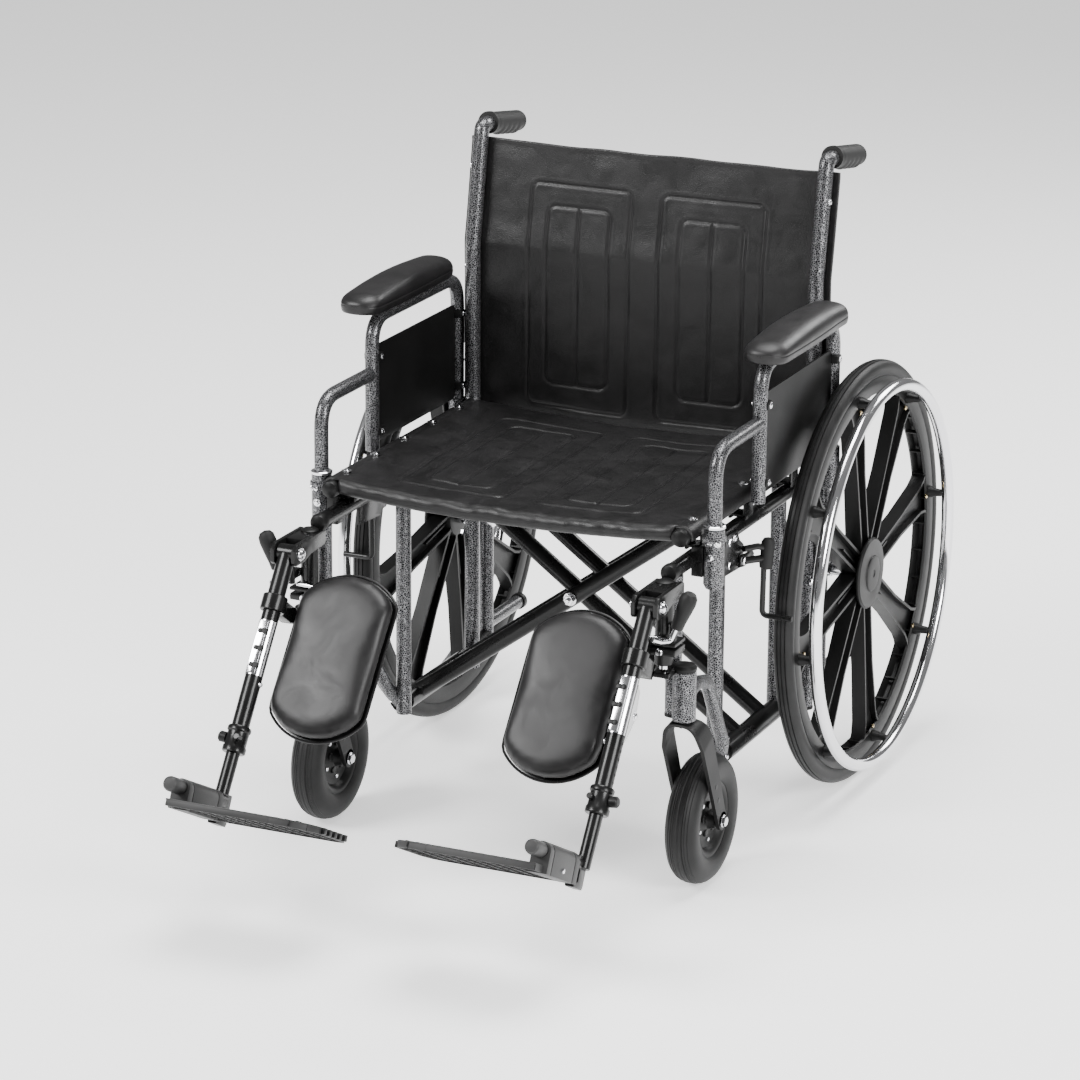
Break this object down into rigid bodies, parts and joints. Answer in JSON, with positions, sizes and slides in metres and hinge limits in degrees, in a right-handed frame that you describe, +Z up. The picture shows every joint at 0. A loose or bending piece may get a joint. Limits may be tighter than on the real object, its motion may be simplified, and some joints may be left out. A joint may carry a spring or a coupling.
{
  "type": "manual wheelchair",
  "caption": "Folding manual wheelchair with quilted vinyl seat and back, spoked rear wheels with handrims, casters, wheel locks and elevating legrests with calf pads and footplates.",
  "frame": {"origin": "on the floor, under the centre of the chair's bounding box", "axes": "+Z up, the chair faces -Y, +X is the occupant's left"},
  "size_m": [0.74, 1.2897, 0.9153],
  "materials": {
    "frame": "silver-vein hammertone powder coat over black",
    "black_metal": "gloss black powder coat",
    "chrome": "bright chrome plate",
    "plastic": "textured black plastic",
    "tyre": "black tyre",
    "grip": "dark grey ribbed rubber",
    "vinyl": "black embossed vinyl"
  },
  "bodies": {
    "cross_a": {"cross_a": "black_metal"},
    "cross_b": {"cross_b": "black_metal", "cross_bolt": "chrome"},
    "seat_left": {"seat_left": "vinyl"},
    "seat_right": {"seat_right": "vinyl"},
    "back_left": {"back_left": "vinyl"},
    "back_right": {"back_right": "vinyl"},
    "side_left": {"side_frame_left": "frame", "back_cane_left": "frame", "push_grip_left": "grip", "rear_axle_left": "chrome", "wheel_lock_bracket_left": "black_metal"},
    "rear_wheel_left": {"mag_wheel_left": "plastic", "rear_tyre_left": "tyre", "handrim_left": "chrome"},
    "caster_fork_left": {"caster_fork_left": "black_metal"},
    "caster_wheel_left": {"caster_rim_left": "plastic", "caster_tyre_left": "tyre"},
    "wheel_lock_left": {"wheel_lock_lever_left": "chrome"},
    "armrest_left": {"arm_frame_left": "frame", "arm_pad_left": "vinyl", "side_panel_left": "plastic"},
    "arm_button_left": {"arm_button_left": "chrome"},
    "hanger_pin_left": {"hanger_pin_left": "chrome"},
    "hanger_left": {"hanger_left": "black_metal"},
    "hanger_latch_left": {"hanger_latch_left": "black_metal"},
    "leg_left": {"leg_tube_left": "black_metal", "ratchet_bar_left": "chrome"},
    "ratchet_lever_left": {"ratchet_lever_left": "grip"},
    "calf_left": {"calf_plate_left": "black_metal", "calf_pad_left": "vinyl"},
    "footrest_left": {"foot_tube_left": "black_metal"},
    "foot_plate_left": {"foot_plate_left": "plastic"},
    "side_right": {"side_frame_right": "frame", "back_cane_right": "frame", "push_grip_right": "grip", "rear_axle_right": "chrome", "wheel_lock_bracket_right": "black_metal"},
    "rear_wheel_right": {"mag_wheel_right": "plastic", "rear_tyre_right": "tyre", "handrim_right": "chrome"},
    "caster_fork_right": {"caster_fork_right": "black_metal"},
    "caster_wheel_right": {"caster_rim_right": "plastic", "caster_tyre_right": "tyre"},
    "wheel_lock_right": {"wheel_lock_lever_right": "chrome"},
    "armrest_right": {"arm_frame_right": "frame", "arm_pad_right": "vinyl", "side_panel_right": "plastic"},
    "arm_button_right": {"arm_button_right": "chrome"},
    "hanger_pin_right": {"hanger_pin_right": "chrome"},
    "hanger_right": {"hanger_right": "black_metal"},
    "hanger_latch_right": {"hanger_latch_right": "black_metal"},
    "leg_right": {"leg_tube_right": "black_metal", "ratchet_bar_right": "chrome"},
    "ratchet_lever_right": {"ratchet_lever_right": "grip"},
    "calf_right": {"calf_plate_right": "black_metal", "calf_pad_right": "vinyl"},
    "footrest_right": {"foot_tube_right": "black_metal"},
    "foot_plate_right": {"foot_plate_right": "plastic"}
  },
  "joints": [
    {"name": "fold", "type": "hinge", "parent": "side_left", "child": "cross_a", "pos_m": [0.245, 0.1209, 0.124], "axis": [0, 1, 0], "range_deg": [0, 45]},
    {"name": "cross_pivot", "type": "hinge", "parent": "cross_a", "child": "cross_b", "pos_m": [0, 0.1349, 0.303], "axis": [0, 1, 0], "range_deg": [-90, 0]},
    {"name": "right_fold", "type": "hinge", "parent": "cross_b", "child": "side_right", "pos_m": [-0.245, 0.1209, 0.124], "axis": [0, 1, 0], "range_deg": [0, 45]},
    {"name": "seat_fold_left", "type": "hinge", "parent": "cross_b", "child": "seat_left", "pos_m": [0.258, 0.0499, 0.492], "axis": [0, 1, 0], "range_deg": [-34.1, 0], "deforming": ["seat_left"]},
    {"name": "seat_fold_centre", "type": "hinge", "parent": "seat_left", "child": "seat_right", "pos_m": [0, 0.0499, 0.498], "axis": [0, 1, 0], "range_deg": [0, 158.2], "deforming": ["seat_right"]},
    {"name": "back_fold_left", "type": "hinge", "parent": "side_left", "child": "back_left", "pos_m": [0.264, 0.2919, 0.6], "axis": [0, 0, 1], "range_deg": [-77, 0], "deforming": ["back_left"]},
    {"name": "back_fold_centre", "type": "hinge", "parent": "back_left", "child": "back_right", "pos_m": [0, 0.2919, 0.6], "axis": [0, 0, 1], "range_deg": [0, 154], "deforming": ["back_right"]},
    {"name": "wheel_spin_left", "type": "hinge", "parent": "side_left", "child": "rear_wheel_left", "pos_m": [0.322, 0.3399, 0.305], "axis": [1, 0, 0], "continuous": true},
    {"name": "caster_swivel_left", "type": "hinge", "parent": "side_left", "child": "caster_fork_left", "pos_m": [0.281, -0.2081, 0.28], "axis": [0, 0, 1], "continuous": true},
    {"name": "caster_spin_left", "type": "hinge", "parent": "caster_fork_left", "child": "caster_wheel_left", "pos_m": [0.281, -0.1381, 0.09], "axis": [1, 0, 0], "continuous": true},
    {"name": "wheel_lock_turn_left", "type": "hinge", "parent": "side_left", "child": "wheel_lock_left", "pos_m": [0.278, -0.0051, 0.415], "axis": [-1, 0, 0], "range_deg": [0, 35]},
    {"name": "arm_lift_left", "type": "slide", "parent": "side_left", "child": "armrest_left", "axis": [0, 0, 1], "range_m": [0, 0.12]},
    {"name": "arm_button_press_left", "type": "slide", "parent": "side_left", "child": "arm_button_left", "axis": [0, 1, 0], "range_m": [0, 0.003], "stiffness_N_per_m": 400},
    {"name": "hanger_fold_left", "type": "hinge", "parent": "side_left", "child": "hanger_pin_left", "pos_m": [0.261, -0.2321, 0.38], "axis": [0, 0, 1], "range_deg": [0, 90]},
    {"name": "hanger_swing_left", "type": "hinge", "parent": "hanger_pin_left", "child": "hanger_left", "pos_m": [0.261, -0.2321, 0.38], "axis": [0, 0, -1], "range_deg": [-90, 0]},
    {"name": "latch_press_left", "type": "hinge", "parent": "hanger_left", "child": "hanger_latch_left", "pos_m": [0.2765, -0.2351, 0.388], "axis": [0, 0, -1], "range_deg": [0, 15], "stiffness_Nm_per_rad": 0.6},
    {"name": "leg_elevate_left", "type": "hinge", "parent": "hanger_left", "child": "leg_left", "pos_m": [0.263, -0.2921, 0.434], "axis": [-1, 0, 0], "range_deg": [0, 55]},
    {"name": "ratchet_release_left", "type": "hinge", "parent": "leg_left", "child": "ratchet_lever_left", "pos_m": [0.281, -0.3121, 0.396], "axis": [1, 0, 0], "range_deg": [0, 20], "stiffness_Nm_per_rad": 2},
    {"name": "calf_swing_left", "type": "hinge", "parent": "leg_left", "child": "calf_left", "pos_m": [0.263, -0.2921, 0.434], "axis": [0, -0.5721, -0.8202], "range_deg": [-90, 0]},
    {"name": "foot_length_left", "type": "slide", "parent": "leg_left", "child": "footrest_left", "axis": [0, -0.5721, -0.8202], "range_m": [-0.05, 0]},
    {"name": "foot_flip_left", "type": "hinge", "parent": "footrest_left", "child": "foot_plate_left", "pos_m": [0.256, -0.4923, 0.147], "axis": [0, 0.8869, -0.462], "range_deg": [0, 85]},
    {"name": "wheel_spin_right", "type": "hinge", "parent": "side_right", "child": "rear_wheel_right", "pos_m": [-0.322, 0.3399, 0.305], "axis": [1, 0, 0], "continuous": true},
    {"name": "caster_swivel_right", "type": "hinge", "parent": "side_right", "child": "caster_fork_right", "pos_m": [-0.281, -0.2081, 0.28], "axis": [0, 0, -1], "continuous": true},
    {"name": "caster_spin_right", "type": "hinge", "parent": "caster_fork_right", "child": "caster_wheel_right", "pos_m": [-0.281, -0.1381, 0.09], "axis": [1, 0, 0], "continuous": true},
    {"name": "wheel_lock_turn_right", "type": "hinge", "parent": "side_right", "child": "wheel_lock_right", "pos_m": [-0.278, -0.0051, 0.415], "axis": [-1, 0, 0], "range_deg": [0, 35]},
    {"name": "arm_lift_right", "type": "slide", "parent": "side_right", "child": "armrest_right", "axis": [0, 0, 1], "range_m": [0, 0.12]},
    {"name": "arm_button_press_right", "type": "slide", "parent": "side_right", "child": "arm_button_right", "axis": [0, 1, 0], "range_m": [0, 0.003], "stiffness_N_per_m": 400},
    {"name": "hanger_fold_right", "type": "hinge", "parent": "side_right", "child": "hanger_pin_right", "pos_m": [-0.261, -0.2321, 0.38], "axis": [0, 0, -1], "range_deg": [0, 90]},
    {"name": "hanger_swing_right", "type": "hinge", "parent": "hanger_pin_right", "child": "hanger_right", "pos_m": [-0.261, -0.2321, 0.38], "axis": [0, 0, 1], "range_deg": [-90, 0]},
    {"name": "latch_press_right", "type": "hinge", "parent": "hanger_right", "child": "hanger_latch_right", "pos_m": [-0.2765, -0.2351, 0.388], "axis": [0, 0, 1], "range_deg": [0, 15], "stiffness_Nm_per_rad": 0.6},
    {"name": "leg_elevate_right", "type": "hinge", "parent": "hanger_right", "child": "leg_right", "pos_m": [-0.263, -0.2921, 0.434], "axis": [-1, 0, 0], "range_deg": [0, 55]},
    {"name": "ratchet_release_right", "type": "hinge", "parent": "leg_right", "child": "ratchet_lever_right", "pos_m": [-0.281, -0.3121, 0.396], "axis": [1, 0, 0], "range_deg": [0, 20], "stiffness_Nm_per_rad": 2},
    {"name": "calf_swing_right", "type": "hinge", "parent": "leg_right", "child": "calf_right", "pos_m": [-0.263, -0.2921, 0.434], "axis": [0, 0.5721, 0.8202], "range_deg": [-90, 0]},
    {"name": "foot_length_right", "type": "slide", "parent": "leg_right", "child": "footrest_right", "axis": [0, -0.5721, -0.8202], "range_m": [-0.05, 0]},
    {"name": "foot_flip_right", "type": "hinge", "parent": "footrest_right", "child": "foot_plate_right", "pos_m": [-0.256, -0.4923, 0.147], "axis": [0, -0.8869, 0.462], "range_deg": [0, 85]}
  ],
  "couplings": [
    {"joint": "cross_pivot", "follows": "fold", "ratio": -2},
    {"joint": "right_fold", "follows": "fold", "ratio": 1},
    {"joint": "seat_fold_left", "follows": "fold", "ratio": -0.756},
    {"joint": "seat_fold_centre", "follows": "fold", "ratio": 3.512},
    {"joint": "back_fold_left", "follows": "fold", "ratio": -1.707},
    {"joint": "back_fold_centre", "follows": "fold", "ratio": 3.414},
    {"joint": "hanger_fold_left", "follows": "fold", "ratio": 2},
    {"joint": "hanger_fold_right", "follows": "fold", "ratio": 2}
  ]
}
